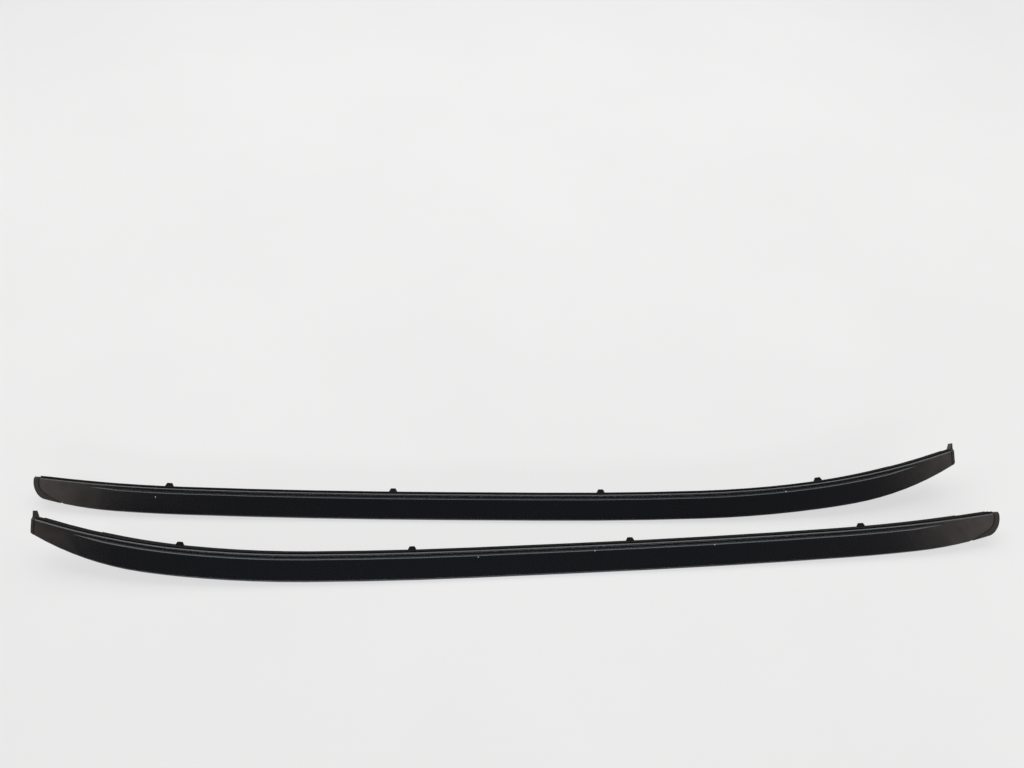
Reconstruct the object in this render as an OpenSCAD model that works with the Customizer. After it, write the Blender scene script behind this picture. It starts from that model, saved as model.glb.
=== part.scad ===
// Pair of roof rails for a car, lying on the floor as a mirrored pair.
// Each rail is a bent hollow aluminium section with a rubber seal under its base,
// a moulded cap in each end and four threaded inserts that take the roof bolts.
// Rail frame: X runs forward along the base edge, Y goes from the base to the crown,
// Z comes out of the grooved outer face, and the origin is the middle of the straight.
// All sizes are in millimetres and angles in degrees.

/* [Section] */
// Height of the section from the base to the crown
rail_h = 51; // [44:0.5:60]
// Width of the base
base_w = 38.5; // [34:0.5:46]
// Width of the crown
crown_w = 6.5; // [6:0.25:10]
// Wall of the hollow section
wall = 2.6; // [2:0.1:3]
// Thickness of the base wall, which carries the inserts
base_wall = 3; // [2.5:0.1:4]
// Height of the bevel along the lower edge of the outer face
bevel_h = 3.6; // [2:0.1:4]
// Depth of the bevel along the lower edge of the outer face
bevel_d = 3.2; // [2:0.1:4]
// Rounding of the two crown edges
crown_r = 3; // [1.5:0.1:3.2]

/* [Groove] */
// Height of the groove's lower lip above the base
groove_low = 4.4; // [4.2:0.1:5]
// Width of the groove floor
groove_floor = 4.4; // [3:0.1:6]
// Width of the sloping upper side of the groove
groove_slope = 3.2; // [2:0.1:5]
// Depth of the groove below the outer face
groove_d = 2.8; // [1.5:0.1:3.4]
// Distance from the rear tip to where the groove runs out
groove_rear_end = 105; // [90:1:150]
// Distance from the front tip to where the groove runs out
groove_front_end = 75; // [60:1:120]
// Length over which the groove floor rises to the face
groove_runout = 60; // [40:1:100]

/* [Bends] */
// Length of the straight middle
straight = 190; // [100:5:300]
// Radius of the shallow bend behind the straight
rear_shoulder_r = 17900; // [14000:100:20000]
// Turn of the shallow bend behind the straight
rear_shoulder_turn = 1.6; // [1:0.1:2]
// Radius of the rear bend
rear_bend_r = 3420; // [3000:20:4000]
// Turn of the rear bend
rear_bend_turn = 4.92; // [4.5:0.01:6]
// Radius of the shallow bend before the front
front_shoulder_r = 8250; // [7000:50:9500]
// Turn of the shallow bend before the front
front_shoulder_turn = 2.12; // [1.8:0.01:2.4]
// Radius of the middle front bend
front_bend_r = 2185; // [1900:5:2500]
// Turn of the middle front bend
front_bend_turn = 5.85; // [5:0.01:7]
// Radius of the bend at the front end
front_end_r = 1390; // [1250:5:1600]
// Turn of the bend at the front end
front_end_turn = 11.5; // [11:0.1:13]

/* [Ends] */
// Length over which the rear end tapers
rear_taper = 165; // [140:1:200]
// Height left at the rear tip by the taper
rear_tip_h = 36.7; // [32:0.1:42]
// Radius of the rounded rear nose
rear_nose_r = 41; // [34:0.5:44]
// Height above the base where the rear nose starts to curve
rear_nose_start = 2.5; // [1:0.1:4]
// Length over which the front end tapers
front_taper = 215; // [180:1:240]
// Height left at the front tip by the taper
front_tip_h = 25.4; // [23:0.1:32]
// Slant of the front end
front_slant = 19.5; // [10:0.5:24]
// Radius of the corner at the front end
front_corner_r = 8; // [5:0.5:10]

/* [Caps] */
// Thickness of the rim of the rear cap
rear_rim = 9; // [6:0.5:11]
// Thickness of the rim of the front cap
front_rim = 4.5; // [3:0.5:6]
// Width of the shadow gap between a rim and the rail
cap_gap = 2.5; // [1.5:0.1:3.5]
// Step down from the rim to the neck in the shadow gap
neck_step = 1; // [0.5:0.1:1.5]
// Length of the spigot that plugs into the rail
spigot_len = 24; // [16:1:30]
// Wall of the hollow spigot
spigot_wall = 2; // [1.5:0.1:2.2]
// Clearance between the spigot and the inside of the rail
spigot_clear = 0.25; // [0.1:0.05:0.4]
// Length of the tongue past the base at the front tip
tongue_len = 11; // [6:0.5:14]
// Width of the tongue where it leaves the front cap
tongue_root = 6.5; // [5:0.5:8]
// Depth of the tongue across the rail
tongue_depth = 14; // [8:0.5:16]

/* [Seal] */
// Thickness of the seal web under the base
seal_t = 1.5; // [1:0.1:2]
// Height of the sealing lips below the web
lip_h = 1; // [0.5:0.1:1.5]
// Width of each sealing lip
lip_w = 2.4; // [1.6:0.1:3]
// Distance of the seal from the edges of the base
seal_inset = 1.2; // [1:0.1:3]
// Number of sealing lips
lip_count = 4; // [3:1:5]

/* [Fixings] */
// Distance from the middle of the rail to the rear inner fixing
rear_inner_fix = 195; // [180:1:210]
// Distance from the middle of the rail to the rear outer fixing
rear_outer_fix = 632; // [610:1:650]
// Distance from the middle of the rail to the front inner fixing
front_inner_fix = 209; // [190:1:225]
// Distance from the middle of the rail to the front outer fixing
front_outer_fix = 634; // [610:1:645]
// Depth of the fixings behind the outer face
fix_depth = 17.5; // [16:0.1:18]
// Radius of the insert's thread
thread_r = 2.5; // [2:0.1:3]
// Length of the insert's thread
thread_len = 10; // [8:0.5:12]
// Radius of the insert's barrel
barrel_r = 5; // [4.5:0.1:5.4]
// Wall beyond the blind end of the thread
barrel_end = 2; // [1.5:0.1:2.5]
// Radius of the smooth hole through the insert's shank
shank_hole_r = 3.3; // [3.2:0.1:3.6]
// Radius of the insert's flange
flange_r = 8; // [7.5:0.1:8.5]
// Thickness of the insert's flange
flange_t = 1.4; // [1:0.1:1.8]
// Radius of the insert's upset collar inside the rail
collar_r = 7.2; // [6.6:0.1:7.5]
// Height of the insert's upset collar
collar_h = 2.5; // [2:0.1:3]
// Clearance around an insert in the rail
insert_clear = 0.1; // [0.05:0.01:0.2]
// Radius of the grommet where it leaves the seal
grommet_r = 8.3; // [8:0.1:9]
// Radius of the grommet at its tip
grommet_tip_r = 4.7; // [4.4:0.1:6]
// Height of the grommet's cone below the seal
grommet_h = 6.5; // [4:0.1:8]
// Width of the grommet's foot beyond its cone
grommet_foot = 1.2; // [0.8:0.1:2]
// Clearance between the grommet and what it sits in
grommet_clear = 0.2; // [0.1:0.05:0.4]

/* [Lay] */
// Sideways distance of each rail's middle from the centre of the pair
stagger = 31; // [0:1:60]
// Distance between the base edges of the two rails at their middles
rail_spacing = 116.5; // [100:0.5:200]
// Swing of the near rail about the vertical
near_yaw = 2.9; // [-1:0.1:5]
// Swing of the far rail about the vertical
far_yaw = -0.3; // [-1:0.1:5]
// Lengthways shift of the pair that puts the origin under the middle of its box
pair_shift_x = 0.95; // [-10:0.05:10]
// Sideways shift of the pair that puts the origin under the middle of its box
pair_shift_y = -75.07; // [-100:0.01:0]

/* [Hidden] */
SIDES = ["left", "right"];
FIXES = [1, 2, 3, 4];
$fn = 256;
round_steps = 4;
nose_steps = 12;
rear_nose_turn = 68;
// A cutting tool starts or stops this far beyond the surface it cuts
over = 1;
// The block that squares off the end of a bend is this long
end_block = 4;
// The groove's run-out starts this far inside its full depth, and its cutter is longer than the
// run-out by this share, so that it comes clear of the face
groove_lap = 2;
groove_past = 0.25;
// The groove's lower side leans by this much over its depth, and these are its floor's corners
groove_lean = 0.8;
groove_low_r = 0.6;
groove_high_r = 1.2;
// The seal lies this far inside the shape that makes it narrower towards the tips
seal_slack = 0.3;
// Length and height that the shapes which cut a rail's end reach over
reach = 400;
// Step of the hollow where its taper starts, and how far the tapering part starts inside the rest
hollow_step = 0.1;
hollow_lap = 0.5;
// Radius of the hollow's corners at the crown, and the smallest radius a rounded corner keeps
hollow_r = 0.5;
least_r = 0.3;
// The corner of the front nose keeps at least this radius when it is moved inward
least_nose_r = 1;
// A sealing lip is this share of its width at the tip
lip_tip = 0.4;
// Height of the bevel on the insert's collar
collar_bevel = collar_h / 3;
// The shapes which make an end run on this far past its tip
tip_extra = 10;
// How far below the base the surface that tapers an end is carried
deep = 40;
// Gap that lets a flat piece lie against the bent base without touching it
seat_gap = 0.1;
// Thickness left for the adhesive between the base and the seal
glue_gap = 0.05;
// Thickness of the tongue at its edge, and how far it stands back from the front of the cap
tongue_edge = 1;
tongue_back = 0.2;
// The tongue starts this far behind the edge between the base and the bevel
tongue_side = 0.5;
// The crown line that rounds the front corner lies this far above the crown
crown_lift = 0.3;
// A rail lies on its hidden side, which is flat in the middle of the rail
lie_angle = atan((base_w - crown_w) / rail_h);
lie_height = base_w * cos(lie_angle);
// Bends are [radius of the base edge, turn], counted outward from the straight
REAR_BENDS = [[rear_shoulder_r, rear_shoulder_turn], [rear_bend_r, rear_bend_turn]];
FRONT_BENDS = [
    [front_shoulder_r, front_shoulder_turn],
    [front_bend_r, front_bend_turn],
    [front_end_r, front_end_turn]
];
// Ends are [bends, length of the taper, height at the tip, rim of the cap]
REAR = [REAR_BENDS, rear_taper, rear_tip_h, rear_rim];
FRONT = [FRONT_BENDS, front_taper, front_tip_h, front_rim];
FIX_PLACES = [[REAR, rear_outer_fix], [REAR, rear_inner_fix], [FRONT, front_inner_fix], [FRONT, front_outer_fix]];
collar_top = base_wall + seat_gap + collar_h;
seal_low = seal_t + lip_h;

// Outline of the section as [height, depth, corner radius], counter-clockwise. It starts where
// the base meets the bevel, and its last point is where the bevel meets the outer face.
SECTION = [
    [0, -bevel_d, 0],
    [0, -base_w, 0],
    [rail_h, -crown_w, crown_r],
    [rail_h, 0, crown_r],
    [bevel_h, 0, 0]
];
// Outline of the hollow in the same order, with a step that keeps the wall behind the groove
hidden_wall = wall / cos(lie_angle);
hollow_h = rail_h - 2 * wall;
hollow_crown = hidden_wall - crown_w - (rail_h - hollow_h) * tan(lie_angle);
groove_top = groove_low + groove_floor + groove_slope;
HOLLOW = [
    [base_wall, -groove_d - wall, 0],
    [base_wall, hidden_wall - base_w + base_wall * tan(lie_angle), 0],
    [hollow_h, hollow_crown, hollow_r],
    [hollow_h, -wall, hollow_r],
    [groove_top + wall, -wall, 0],
    [groove_top - groove_slope + wall, -groove_d - wall, 0]
];
// Limit of the seal's width where the rail gets narrower
seal_edge = -base_w + seal_inset - seal_slack;
SEAL_LIMIT = [
    [-deep, over],
    [-deep, seal_edge - deep * tan(lie_angle)],
    [rail_h, seal_edge + rail_h * tan(lie_angle)],
    [rail_h, over]
];
// Corners of the groove cutter, whose sides run on past the outer face
GROOVE = [
    [groove_low - groove_lean * over / groove_d, over, 0],
    [groove_low + groove_lean, -groove_d, groove_low_r],
    [groove_top - groove_slope, -groove_d, groove_high_r],
    [groove_top + groove_slope * over / groove_d, over, 0]
];

function arc_length(bend) = bend[0] * bend[1] * PI / 180;
function bends_length(bends, i = 0) =
    i < len(bends) ? arc_length(bends[i]) + bends_length(bends, i + 1) : 0;
function half_length(end) = straight / 2 + bends_length(end[0]);
function last_radius(end) = end[0][len(end[0]) - 1][0];
function turn_over(r, distance) = distance / r * 180 / PI;
function unit(v) = v / norm(v);
function left_of(v) = [-v[1], v[0]];
function flat(p) = [p[0], p[1]];

// Points of the rounded corner at p, between the points before and after it
function corner(before, p, after, steps) =
    let (
        a = unit(flat(p) - flat(before)),
        b = unit(flat(after) - flat(p)),
        turn = atan2(a[0] * b[1] - a[1] * b[0], a * b),
        side = turn < 0 ? -1 : 1,
        start = flat(p) - a * p[2] * tan(abs(turn) / 2),
        centre = start + left_of(a) * p[2] * side,
        first = atan2(start[1] - centre[1], start[0] - centre[0])
    )
    p[2] > 0
        ? [for (k = [0:steps]) centre + p[2] * direction(first + turn * k / steps)]
        : [flat(p)];
function direction(angle) = [cos(angle), sin(angle)];

// A polygon's corners, each rounded by its own radius
function rounded(pts, steps = round_steps) = [
    for (i = [0:len(pts) - 1])
        each corner(pts[(i + len(pts) - 1) % len(pts)], pts[i], pts[(i + 1) % len(pts)], steps)
];

// A section without its base, whose sides are carried down past it
function deepened(pts) =
    let (slope = (pts[2][1] - pts[1][1]) / (pts[2][0] - pts[1][0]))
    [[-deep, pts[3][1], 0], [-deep, pts[1][1] - slope * (deep + pts[1][0]), 0], pts[2], pts[3]];
// All that lies beyond the base side of a section
function beyond_base(pts) =
    let (
        before = len(pts) > 5 ? pts[5] : pts[0],
        out = (pts[4] - before) * over / (pts[4][1] - before[1])
    )
    concat(
        [[-deep - over, pts[4][1] + over], [-deep - over, -reach], [pts[1][0], -reach], flat(pts[0])],
        len(pts) > 5 ? [flat(pts[5])] : [],
        [flat(pts[4] + out)]
    );

// A counter-clockwise polygon moved inward by d, with its radii made smaller to match
function inset(pts, d) = [
    for (i = [0:len(pts) - 1])
        let (
            before = flat(pts[(i + len(pts) - 1) % len(pts)]),
            here = flat(pts[i]),
            after = flat(pts[(i + 1) % len(pts)]),
            n1 = left_of(unit(here - before)),
            n2 = left_of(unit(after - here)),
            moved = here + d * (n1 + n2) / (1 + n1 * n2)
        )
        [moved[0], moved[1], pts[i][2] > 0 ? max(pts[i][2] - d, least_r) : 0]
];

// Crown point above the tip, seen from where the taper starts
function tip_point(end) =
    let (r = last_radius(end), a = turn_over(r, end[1]))
    [(r + end[2]) * sin(a), (r + end[2]) * cos(a) - r];
// Radius of the arc that touches the crown where the taper starts and passes through that point
function crown_radius(end) =
    let (tip = tip_point(end), drop = rail_h - tip[1])
    (tip[0] * tip[0] + drop * drop) / (2 * drop);
// Turn of that arc down to the tip
function crown_turn(end) = asin(tip_point(end)[0] / crown_radius(end));
// How much the crown falls towards the base at the tip
function crown_fall(end) = crown_turn(end) - turn_over(last_radius(end), end[1]);

// A 2D section swept along a bend that starts at the origin, heading along X
module long_bend(r, turn) {
    translate([0, -r, 0]) rotate([0, 0, 90]) rotate_extrude(angle = -turn) translate([r, 0]) children();
}

module past_bend(r, turn) {
    translate([0, -r, 0]) rotate([0, 0, -turn]) translate([0, r, 0]) children();
}

// The same bend, made a little long and then cut off square where the next piece starts
module bend(r, turn) {
    difference() {
        long_bend(r, turn + turn_over(r, over)) children();
        past_bend(r, turn) translate([0, -reach / 2, -reach / 2]) cube([end_block, reach, reach]);
    }
}

module sweep_bends(bends, distance, i = 0) {
    if (i < len(bends) && distance > 0) {
        r = bends[i][0];
        turn = min(bends[i][1], turn_over(r, distance));
        bend(r, turn) children();
        past_bend(r, turn) sweep_bends(bends, distance - arc_length(bends[i]), i + 1) children();
    }
}

// A 2D section swept outward from the end of the straight to a distance from the rail's middle
module sweep(end, distance) {
    translate([straight / 2, 0, 0]) sweep_bends(end[0], distance - straight / 2) children();
}

// A 2D section, put together as the tapered ends are so that the joints fit
module section_face(section) {
    difference() {
        polygon(rounded(deepened(section)));
        polygon(beyond_base(section));
    }
}

module sweep_straight() {
    translate([-straight / 2, 0, 0]) rotate([90, 0, 90]) linear_extrude(straight) children();
}

module along_bends(bends, distance, i = 0) {
    r = bends[i][0];
    past_bend(r, min(bends[i][1], turn_over(r, distance)))
        if (i + 1 < len(bends) && distance > arc_length(bends[i]))
            along_bends(bends, distance - arc_length(bends[i]), i + 1) children();
        else
            children();
}

// Places things at a distance along the base edge, with X pointing outward
module along(end, distance) {
    translate([straight / 2, 0, 0]) along_bends(end[0], distance - straight / 2) children();
}

module at_tip(end) {
    along(end, half_length(end)) children();
}

module at_taper(end) {
    along(end, half_length(end) - end[1]) children();
}

// The rear half of a rail is built as its front half is, heading along X, and then turned round
module facing(end) {
    if (end == REAR)
        mirror([1, 0, 0]) children();
    else
        children();
}

// The tapering end of a section, a little longer than the rail: the section is swept along the
// tight crown arc, and what then lies beyond the base is taken off along the last bend. It can
// start a little before the taper does.
module tapered_end(end, section, start = 0) {
    r = last_radius(end);
    crown_centre_r = crown_radius(end) - rail_h;
    lead = turn_over(crown_centre_r, start);
    difference() {
        at_taper(end)
            past_bend(crown_centre_r, -lead)
                long_bend(crown_centre_r, crown_turn(end) + lead + turn_over(crown_centre_r, tip_extra))
                    polygon(rounded(deepened(section)));
        along(end, half_length(end) - end[1] - over)
            long_bend(r, turn_over(r, end[1] + over + tip_extra)) polygon(beyond_base(section));
    }
}

// A slice across an end, between the nose moved inward by d and the shape given as child
module end_slice(end, section, d) {
    difference() {
        intersection() {
            tapered_end(end, section);
            at_tip(end) nose(end, d);
        }
        at_tip(end) children();
    }
}

// All that lies inside the nose of an end when its outline is moved inward by d
module nose(end, d) {
    linear_extrude(2 * deep + rail_h, center = true)
        if (end == REAR)
            rear_nose(d);
        else
            front_nose(d);
}

// The rear nose is an arc that runs on straight once it is through the crown
module rear_nose(d) {
    centre = [-rear_nose_r, rear_nose_start];
    r = rear_nose_r - d;
    top = centre + r * direction(rear_nose_turn) + reach / 2 * direction(rear_nose_turn + 90);
    polygon(concat(
        [[-reach, top[1]], [-reach, -deep], [-d, -deep]],
        [for (k = [0:nose_steps]) centre + r * direction(rear_nose_turn * k / nose_steps)],
        [top]
    ));
}

module front_nose(d) {
    fall = crown_fall(FRONT);
    foot = -d / cos(front_slant);
    up = direction(90 + front_slant);
    rise = (front_tip_h + crown_lift - foot * tan(fall)) / (up[1] + up[0] * tan(fall));
    corner_point = [foot, 0] + up * rise;
    below = [foot, 0] - up * deep;
    polygon(rounded([
        [-reach, -deep, 0],
        [below[0], below[1], 0],
        [corner_point[0], corner_point[1], max(front_corner_r - d, least_nose_r)],
        [-reach, front_tip_h + reach * tan(fall), 0]
    ], nose_steps));
}

// The spigot's inner end
module spigot_stop(end) {
    d = end[3] + cap_gap + spigot_len;
    if (end == REAR)
        translate([-reach - rear_nose_r - spigot_len, -deep, -deep * 2])
            cube([reach, deep * 3 + rail_h, deep * 3]);
    else
        nose(end, d);
}

// Distance from the rail's middle to where the groove has its full depth
function groove_full(end, end_distance) = half_length(end) - end_distance - groove_runout;

// The last stretch of the groove, whose floor rises to the face at a slight angle
module groove_runs_out(end, end_distance) {
    r = last_radius(end);
    along(end, groove_full(end, end_distance) - groove_lap)
        rotate([0, -atan(groove_d / groove_runout), 0])
            long_bend(r, turn_over(r, groove_runout * (1 + groove_past))) polygon(rounded(GROOVE));
}

// A hole or a round piece on a fixing's axis, with its own Z pointing into the rail
module at_fixing(i) {
    facing(FIX_PLACES[i][0])
        along(FIX_PLACES[i][0], FIX_PLACES[i][1])
            translate([0, 0, -fix_depth]) rotate([-90, 0, 0]) children();
}

// The solid rail, cut off at both ends where the caps start
module rail_outside() {
    sweep_straight() section_face(SECTION);
    for (end = [REAR, FRONT])
        facing(end) {
            sweep(end, half_length(end) - end[1]) section_face(SECTION);
            intersection() {
                tapered_end(end, SECTION);
                at_tip(end) nose(end, end[3] + cap_gap);
            }
        }
}

// The hollow, running out past both ends. Its tapering parts start inside the even part and are a
// hair smaller.
module rail_inside() {
    sweep_straight() section_face(HOLLOW);
    for (end = [REAR, FRONT])
        facing(end) {
            sweep(end, half_length(end) - end[1]) section_face(HOLLOW);
            tapered_end(end, inset(HOLLOW, hollow_step), hollow_lap);
        }
}

// The stretch of the groove that has its full depth
module groove() {
    sweep_straight() polygon(rounded(GROOVE));
    facing(REAR) sweep(REAR, groove_full(REAR, groove_rear_end)) polygon(rounded(GROOVE));
    sweep(FRONT, groove_full(FRONT, groove_front_end)) polygon(rounded(GROOVE));
}

module rail_bar() {
    color("#1c1d20") difference() {
        rail_outside();
        rail_inside();
        groove();
        facing(REAR) groove_runs_out(REAR, groove_rear_end);
        groove_runs_out(FRONT, groove_front_end);
        for (i = [0:len(FIX_PLACES) - 1])
            at_fixing(i) translate([0, 0, -over]) cylinder(r = barrel_r + insert_clear, h = base_wall + 2 * over);
    }
}

// Section of the seal: a web with a row of lips below it, just clear of the base it is stuck to
module seal_section() {
    low = -base_w + seal_inset;
    span = base_w - 2 * seal_inset;
    slant = lip_w * (1 - lip_tip) / 2;
    lip = [[-seal_t, 0], [-seal_low, slant], [-seal_low, lip_w - slant], [-seal_t, lip_w]];
    polygon(concat(
        [[-glue_gap, low + span], [-glue_gap, low]],
        [for (i = [0:lip_count - 1]) for (pt = lip) pt + [0, low + (span - lip_w) * i / (lip_count - 1)]]
    ));
}

// The seal's end, which gets narrower with the rail
module seal_end(end) {
    r = last_radius(end);
    crown_centre_r = crown_radius(end) - rail_h;
    lead = turn_over(crown_centre_r, over);
    intersection() {
        at_taper(end) long_bend(r, turn_over(r, end[1] + over)) seal_section();
        at_taper(end)
            past_bend(crown_centre_r, -lead)
                long_bend(crown_centre_r, crown_turn(end) + lead + turn_over(crown_centre_r, tip_extra))
                    polygon(SEAL_LIMIT);
        at_tip(end) nose(end, end[3] + cap_gap + grommet_clear);
    }
}

module base_seal() {
    color("#0d0d0e") difference() {
        union() {
            sweep_straight() seal_section();
            for (end = [REAR, FRONT])
                facing(end) {
                    sweep(end, half_length(end) - end[1]) seal_section();
                    seal_end(end);
                }
        }
        for (i = [0:len(FIX_PLACES) - 1])
            at_fixing(i)
                translate([0, 0, -seal_low - over])
                    cylinder(r = grommet_r + grommet_foot + grommet_clear, h = seal_low + 2 * over);
    }
}

// A moulded cap: rim, recessed neck and hollow spigot, each let into the one before it
module end_cap(end) {
    rim = end[3];
    neck = rim + cap_gap;
    end_slice(end, SECTION, 0) nose(end, rim);
    end_slice(end, inset(SECTION, neck_step), rim - over) nose(end, neck);
    difference() {
        end_slice(end, inset(HOLLOW, spigot_clear), neck - over) spigot_stop(end);
        end_slice(end, inset(HOLLOW, spigot_clear + spigot_wall), neck) translate([-over, 0, 0]) spigot_stop(end);
    }
}

// The lip that hooks over the edge of the roof, pointing down past the base
module tongue() {
    lean = tan(front_slant);
    translate([0, 0, -bevel_d - tongue_side - tongue_depth])
        linear_extrude(tongue_depth)
            polygon([
                [-tongue_root, 0],
                [lean * tongue_len - tongue_edge - tongue_back, -tongue_len],
                [lean * tongue_len - tongue_back, -tongue_len],
                [-lean * over - tongue_back, over],
                [-front_rim + tongue_back, over]
            ]);
}

module front_cap() {
    color("#2a2a2b") {
        end_cap(FRONT);
        at_tip(FRONT) tongue();
    }
}

module rear_cap() {
    color("#2a2a2b") facing(REAR) end_cap(REAR);
}

// A steel insert with a blind thread, upset inside the rail and flanged below it
module threaded_insert(i) {
    flange_low = -seat_gap - flange_t;
    thread_top = collar_top + thread_len;
    color("#9a9c9f") at_fixing(i) rotate_extrude() polygon([
        [shank_hole_r, flange_low],
        [flange_r, flange_low],
        [flange_r, -seat_gap],
        [barrel_r, -seat_gap],
        [barrel_r, base_wall + seat_gap],
        [collar_r, base_wall + seat_gap],
        [collar_r, collar_top - collar_bevel],
        [barrel_r, collar_top],
        [barrel_r, thread_top + barrel_end],
        [0, thread_top + barrel_end],
        [0, thread_top],
        [thread_r, thread_top],
        [thread_r, collar_top],
        [shank_hole_r, collar_top]
    ]);
}

// A conical rubber grommet round the bolt's way in, with a pocket for the insert's flange
module grommet(i) {
    foot_r = grommet_r + grommet_foot;
    pocket_r = flange_r + grommet_clear;
    pocket_low = -seat_gap * 2 - flange_t;
    color("#121213") at_fixing(i) rotate_extrude() polygon([
        [shank_hole_r, -seal_low - grommet_h],
        [grommet_tip_r, -seal_low - grommet_h],
        [grommet_r, -seal_low],
        [foot_r, -seal_low],
        [foot_r, -seat_gap],
        [pocket_r, -seat_gap],
        [pocket_r, pocket_low],
        [shank_hole_r, pocket_low]
    ]);
}

// The near rail is the right-hand one. The left-hand one is its mirror image.
module lay(side) {
    far = side == "left";
    translate([pair_shift_x + (far ? -stagger : stagger), pair_shift_y + (far ? rail_spacing : 0), lie_height])
        rotate([0, 0, far ? far_yaw : near_yaw])
            mirror([far ? 1 : 0, 0, 0])
                rotate([lie_angle, 0, 0]) rotate([0, 0, 180]) children();
}

for (side = SIDES) {
    lay(side) rail_bar();
    lay(side) base_seal();
    lay(side) front_cap();
    lay(side) rear_cap();
    for (i = FIXES) {
        lay(side) threaded_insert(i - 1);
        lay(side) grommet(i - 1);
    }
}
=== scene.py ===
import math
import bpy
from mathutils import Matrix, Vector

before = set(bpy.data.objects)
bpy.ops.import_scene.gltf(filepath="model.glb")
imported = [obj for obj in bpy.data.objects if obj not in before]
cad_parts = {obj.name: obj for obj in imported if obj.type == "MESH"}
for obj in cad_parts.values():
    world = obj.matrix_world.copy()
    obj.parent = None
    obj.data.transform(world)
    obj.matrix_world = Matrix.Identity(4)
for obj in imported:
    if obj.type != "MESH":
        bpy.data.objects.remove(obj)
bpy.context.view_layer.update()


# Nodes that several materials use

def new_material(name):
    mat = bpy.data.materials.new(name)
    mat.use_nodes = True
    return mat, mat.node_tree, mat.node_tree.nodes["Principled BSDF"]


def feed(tree, socket, value):
    """Links a socket's value, or sets a number or a colour."""
    if isinstance(value, bpy.types.NodeSocket):
        tree.links.new(value, socket)
    elif isinstance(value, tuple):
        socket.default_value = (*value, 1)
    else:
        socket.default_value = value


def object_coords(tree):
    return tree.nodes.new("ShaderNodeTexCoord").outputs["Object"]


def noise(tree, scale, detail=4.0, rough=0.55):
    tex = tree.nodes.new("ShaderNodeTexNoise")
    tex.inputs["Scale"].default_value = scale
    tex.inputs["Detail"].default_value = detail
    tex.inputs["Roughness"].default_value = rough
    tree.links.new(object_coords(tree), tex.inputs["Vector"])
    return tex.outputs["Fac"]


def map_range(tree, value, given, wanted=(0.0, 1.0), shape="LINEAR"):
    node = tree.nodes.new("ShaderNodeMapRange")
    node.interpolation_type = shape
    node.inputs["From Min"].default_value, node.inputs["From Max"].default_value = given
    node.inputs["To Min"].default_value, node.inputs["To Max"].default_value = wanted
    tree.links.new(value, node.inputs["Value"])
    return node.outputs["Result"]


# Most of a noise texture's values lie between these two
NOISE_RANGE = (0.3, 0.7)


def spread(tree, value, low=0.0, high=1.0):
    return map_range(tree, value, NOISE_RANGE, (low, high))


def mix_colours(tree, factor, a, b):
    node = tree.nodes.new("ShaderNodeMix")
    node.data_type = "RGBA"
    feed(tree, node.inputs["Factor"], factor)
    feed(tree, node.inputs["A"], a)
    feed(tree, node.inputs["B"], b)
    return node.outputs["Result"]


def maths(tree, operation, *values):
    node = tree.nodes.new("ShaderNodeMath")
    node.operation = operation
    for socket, value in zip(node.inputs, values):
        feed(tree, socket, value)
    return node.outputs[0]


def measure(tree, operation, vector, other=None):
    """A number from one vector or two, such as a length, a distance or a dot product."""
    node = tree.nodes.new("ShaderNodeVectorMath")
    node.operation = operation
    tree.links.new(vector, node.inputs[0])
    if isinstance(other, tuple):
        node.inputs[1].default_value = other
    elif other is not None:
        tree.links.new(other, node.inputs[1])
    return node.outputs["Value"]


def rounded_normal(tree, radius, samples):
    bevel = tree.nodes.new("ShaderNodeBevel")
    bevel.samples = samples
    bevel.inputs["Radius"].default_value = radius
    return bevel.outputs["Normal"]


# Wear of the rails' paint, and a painted sheen at their ends. Lengths are in metres.

# Chips on the ridge of each rail's face: two on the far rail and three on the near one
CHIPS = [
    (-0.6800, 0.0361, 0.0271), (0.5338, 0.0455, 0.0354),
    (-0.0547, -0.0914, 0.0251), (0.1584, -0.0783, 0.0263), (0.3800, -0.0657, 0.0271),
]
# A chip is bare up to the first distance from its middle, and whole paint begins at the second
CHIP_RIM = (0.0014, 0.0021)
CHIP_RAGGED = 0.0010
CHIP_NOISE = 1400.0

# Paint is rubbed off where a patchy noise is high and the rounded normal leaves the true one
RUB_NOISE = 55.0
RUB_PATCHES = (0.66, 0.72)
RUB_EDGES = (0.004, 0.03)
RUB_RADIUS = 0.0008

# Painted sheen for the brighter reflections at the rails' bent ends, in noisy patches,
# from its start to its full share by distance from the pair's middle
SHEEN_REACH = (0.70, 0.90)
SHEEN_SHARE = (0.02, 0.42)
SHEEN_NOISE = 38.0
SHEEN_PATCHES = (0.55, 1.45)
# The lighter warm grey of the painted sheen at the rails' ends
SHEEN_COLOUR = (0.054, 0.042, 0.035)
SHEEN_ROUGHNESS = 0.25


def chip_spots(tree):
    """1 inside a chip and 0 away from all of them, with ragged rims."""
    here = object_coords(tree)
    nearest = measure(tree, "DISTANCE", here, CHIPS[0])
    for place in CHIPS[1:]:
        nearest = maths(tree, "MINIMUM", nearest, measure(tree, "DISTANCE", here, place))
    ragged = maths(tree, "MULTIPLY", noise(tree, CHIP_NOISE, detail=2.0), CHIP_RAGGED)
    return map_range(tree, maths(tree, "ADD", nearest, ragged), CHIP_RIM, (1.0, 0.0))


def rubbed_edges(tree):
    """1 in patches along the edges and 0 on flats."""
    patches = map_range(tree, noise(tree, RUB_NOISE, detail=6.0, rough=0.7), RUB_PATCHES)
    true_normal = tree.nodes.new("ShaderNodeNewGeometry").outputs["Normal"]
    rounded = rounded_normal(tree, RUB_RADIUS, samples=6)
    along = measure(tree, "DOT_PRODUCT", rounded, true_normal)
    edges = map_range(tree, maths(tree, "SUBTRACT", 1.0, along), RUB_EDGES)
    return maths(tree, "MULTIPLY", patches, edges)


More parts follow.
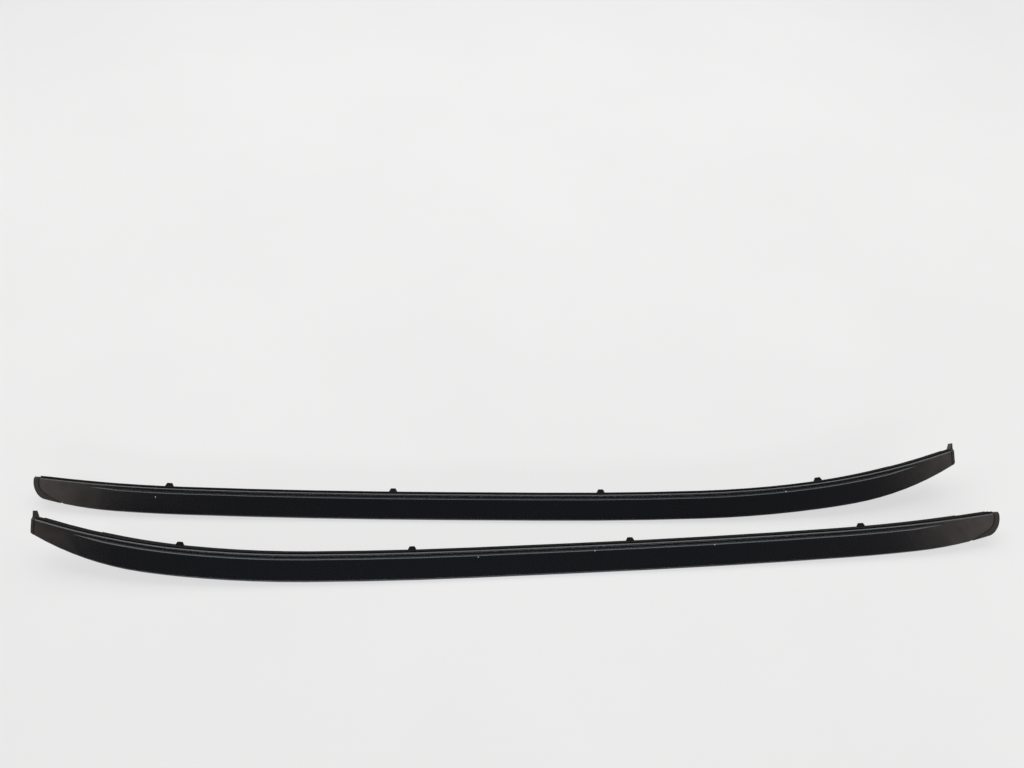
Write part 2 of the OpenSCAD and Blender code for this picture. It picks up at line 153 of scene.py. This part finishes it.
def painted_end_sheen(tree):
    """How much painted sheen lies on the paint: next to none in the middle of a rail, most at its
    ends.
    """
    split = tree.nodes.new("ShaderNodeSeparateXYZ")
    tree.links.new(object_coords(tree), split.inputs[0])
    away = maths(tree, "ABSOLUTE", split.outputs["X"])
    rise = map_range(tree, away, SHEEN_REACH, SHEEN_SHARE, "SMOOTHSTEP")
    patches = spread(tree, noise(tree, SHEEN_NOISE, detail=6.0, rough=0.65), *SHEEN_PATCHES)
    return maths(tree, "MULTIPLY", rise, patches)


# Materials

SHADE_NOISE = 6.0         # broad changes of shade, the same in every material
SOFT_EDGE = 0.0004        # radius that edges seem to have
GRAIN_DEPTH = 0.0002      # depth of the surface grain at a bump of 1


def surface(name, dark, light, roughness, rough_spread, bump, grain,
            metallic=0.0, specular=0.5, tint=(1, 1, 1), bare=None):
    """Two shades mixed by noise. With a bare colour: painted end sheen, chips and rubbed edges
    too.
    """
    mat, tree, shader = new_material(name)
    broad = noise(tree, SHADE_NOISE, detail=3.0)
    fine = noise(tree, grain, detail=5.0)
    shade = maths(tree, "MULTIPLY_ADD", fine, 0.5, maths(tree, "MULTIPLY", broad, 0.5))
    colour = mix_colours(tree, spread(tree, shade), dark, light)
    rough = spread(tree, fine, roughness - rough_spread, roughness + rough_spread)
    if bare:
        # Painted sheen: a lighter, rougher warm grey towards the rail ends, standing in for their
        # reflections
        end_sheen = painted_end_sheen(tree)
        colour = mix_colours(tree, end_sheen, colour, SHEEN_COLOUR)
        rough = maths(tree, "MULTIPLY_ADD", end_sheen, SHEEN_ROUGHNESS, rough)
        chips = maths(tree, "MAXIMUM", rubbed_edges(tree), chip_spots(tree))
        colour = mix_colours(tree, chips, colour, bare)
    tree.links.new(colour, shader.inputs["Base Color"])
    tree.links.new(rough, shader.inputs["Roughness"])
    shader.inputs["Metallic"].default_value = metallic
    shader.inputs["Specular IOR Level"].default_value = specular
    shader.inputs["Specular Tint"].default_value = (*tint, 1)
    bumper = tree.nodes.new("ShaderNodeBump")
    bumper.inputs["Strength"].default_value = bump
    bumper.inputs["Distance"].default_value = GRAIN_DEPTH
    tree.links.new(fine, bumper.inputs["Height"])
    tree.links.new(rounded_normal(tree, SOFT_EDGE, samples=4), bumper.inputs["Normal"])
    tree.links.new(bumper.outputs["Normal"], shader.inputs["Normal"])
    return mat


PAINT = surface(
    "rail_paint", (0.0018, 0.0023, 0.0041), (0.0027, 0.0033, 0.0053),
    roughness=0.26, rough_spread=0.04, bump=0.08, grain=900.0,
    specular=1.0, tint=(0.86, 0.92, 1.0), bare=(0.50, 0.50, 0.49))
PLASTIC = surface(
    "cap_plastic", (0.019, 0.0172, 0.0158), (0.027, 0.0245, 0.0222),
    roughness=0.50, rough_spread=0.05, bump=0.5, grain=1500.0)
SEAL_RUBBER = surface(
    "seal_rubber", (0.005, 0.005, 0.005), (0.008, 0.008, 0.008),
    roughness=0.7, rough_spread=0.06, bump=0.4, grain=700.0, specular=0.3)
GROMMET_RUBBER = surface(
    "grommet_rubber", (0.003, 0.003, 0.003), (0.006, 0.006, 0.006),
    roughness=0.65, rough_spread=0.06, bump=0.4, grain=700.0, specular=0.15)
STEEL = surface(
    "insert_steel", (0.50, 0.50, 0.51), (0.60, 0.60, 0.61),
    roughness=0.35, rough_spread=0.05, bump=0.1, grain=500.0, metallic=1.0)

# What each node is made of, by a part of its name
MADE_OF = {
    "rail_bar": PAINT,
    "base_seal": SEAL_RUBBER,
    "front_cap": PLASTIC,
    "rear_cap": PLASTIC,
    "threaded_insert": STEEL,
    "grommet": GROMMET_RUBBER,
}
GROMMET_ROUNDING = 0.0014
GROMMET_SHARP = 35        # degrees from which an edge is rounded

for name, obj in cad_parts.items():
    for part, material in MADE_OF.items():
        if part in name:
            obj.data.materials.clear()
            obj.data.materials.append(material)
    for poly in obj.data.polygons:
        poly.material_index = 0
    if "grommet" in name:
        bevel = obj.modifiers.new("round", "BEVEL")
        bevel.width = GROMMET_ROUNDING
        bevel.segments = 3
        bevel.limit_method = "ANGLE"
        bevel.angle_limit = math.radians(GROMMET_SHARP)


# Floor

FLOOR_HALF = 40.0
FLOOR_NOISE = 1.5
# The floor glows in the colour of the backdrop, less where lamps light it than beyond them, and
# reflects only a little, so that the shadows are as faint as in the photo
FLOOR_GLOW_COLOURS = ((0.796, 0.803, 0.810), (0.816, 0.823, 0.830))
FLOOR_LIT_COLOURS = ((0.275, 0.275, 0.275), (0.285, 0.285, 0.285))
GLOW_REACH = (2.6, 5.5)
GLOW_STRENGTH = (0.77, 1.0)


def add_floor():
    mesh = bpy.data.meshes.new("floor")
    corners = [(-1, -1), (1, -1), (1, 1), (-1, 1)]
    mesh.from_pydata([(FLOOR_HALF * x, FLOOR_HALF * y, 0) for x, y in corners], [], [(0, 1, 2, 3)])
    floor = bpy.data.objects.new("floor", mesh)
    bpy.context.collection.objects.link(floor)
    mat, tree, shader = new_material("floor_paint")
    cloud = spread(tree, noise(tree, FLOOR_NOISE))
    tree.links.new(mix_colours(tree, cloud, *FLOOR_LIT_COLOURS), shader.inputs["Base Color"])
    tree.links.new(mix_colours(tree, cloud, *FLOOR_GLOW_COLOURS), shader.inputs["Emission Color"])
    away = measure(tree, "LENGTH", object_coords(tree))
    glow = map_range(tree, away, GLOW_REACH, GLOW_STRENGTH, "SMOOTHSTEP")
    tree.links.new(glow, shader.inputs["Emission Strength"])
    shader.inputs["Roughness"].default_value = 0.9
    shader.inputs["Specular IOR Level"].default_value = 0.2
    mesh.materials.append(mat)
    return floor


add_floor()


# Light

WHITE = (1.0, 1.0, 1.0)
NEARLY_WHITE = (1.0, 0.985, 0.96)
WARM = (1.0, 0.84, 0.75)
WORLD_FILL = 0.048        # low, because the rails' faces mirror the space round the camera
BACKDROP = (0.82, 0.82, 0.82)


def area_light(name, place, aim, size, power, colour):
    data = bpy.data.lights.new(name, "AREA")
    data.shape = "RECTANGLE"
    data.size, data.size_y = size
    data.energy = power
    data.color = colour
    obj = bpy.data.objects.new(name, data)
    bpy.context.collection.objects.link(obj)
    obj.location = place
    obj.visible_camera = False
    obj.rotation_euler = (Vector(aim) - Vector(place)).to_track_quat("-Z", "Y").to_euler()


area_light("back_light", (0, 1.9, 2.6), (0, 0.7, 0), (5.5, 2.8), 96, NEARLY_WHITE)
area_light("left_light", (-2.9, -0.45, 1.6), (-0.8, 0.1, 0), (1.2, 1.2), 14.5, WARM)
area_light("right_light", (2.9, -0.45, 1.6), (0.8, 0.1, 0), (1.2, 1.2), 15.5, WARM)
area_light("front_light", (0, -3.2, 1.2), (0, 0, 0), (4.0, 0.5), 40, WHITE)


def light_world():
    """A faint fill, and a pale backdrop that only the camera sees."""
    world = bpy.data.worlds.new("studio")
    bpy.context.scene.world = world
    world.use_nodes = True
    tree = world.node_tree
    fill = tree.nodes["Background"]
    feed(tree, fill.inputs["Color"], WHITE)
    feed(tree, fill.inputs["Strength"], WORLD_FILL)
    backdrop = tree.nodes.new("ShaderNodeBackground")
    feed(tree, backdrop.inputs["Color"], BACKDROP)
    path = tree.nodes.new("ShaderNodeLightPath")
    mix = tree.nodes.new("ShaderNodeMixShader")
    tree.links.new(path.outputs["Is Camera Ray"], mix.inputs[0])
    tree.links.new(fill.outputs[0], mix.inputs[1])
    tree.links.new(backdrop.outputs[0], mix.inputs[2])
    tree.links.new(mix.outputs[0], tree.nodes["World Output"].inputs["Surface"])


light_world()


# Camera, as solved from the photo: focal length and frame in pixels, angles in degrees

FOCAL_PX = 805.0
FRAME_PX = 1024.0
SENSOR_MM = 36.0
CAMERA_PLACE = (0.00615, -0.82377, 1.335)
LOOKS_DOWN = 48.65
ROLL = 0.10

camera_data = bpy.data.cameras.new("camera")
camera_data.sensor_width = SENSOR_MM
camera_data.lens = FOCAL_PX / FRAME_PX * SENSOR_MM
camera_data.clip_end = 50.0
camera = bpy.data.objects.new("camera", camera_data)
bpy.context.collection.objects.link(camera)
camera.matrix_world = (
    Matrix.Translation(CAMERA_PLACE)
    @ Matrix.Rotation(math.radians(90 - LOOKS_DOWN), 4, "X")
    @ Matrix.Rotation(math.radians(ROLL), 4, "Z")
)
bpy.context.scene.camera = camera
bpy.context.scene.view_settings.view_transform = "Standard"
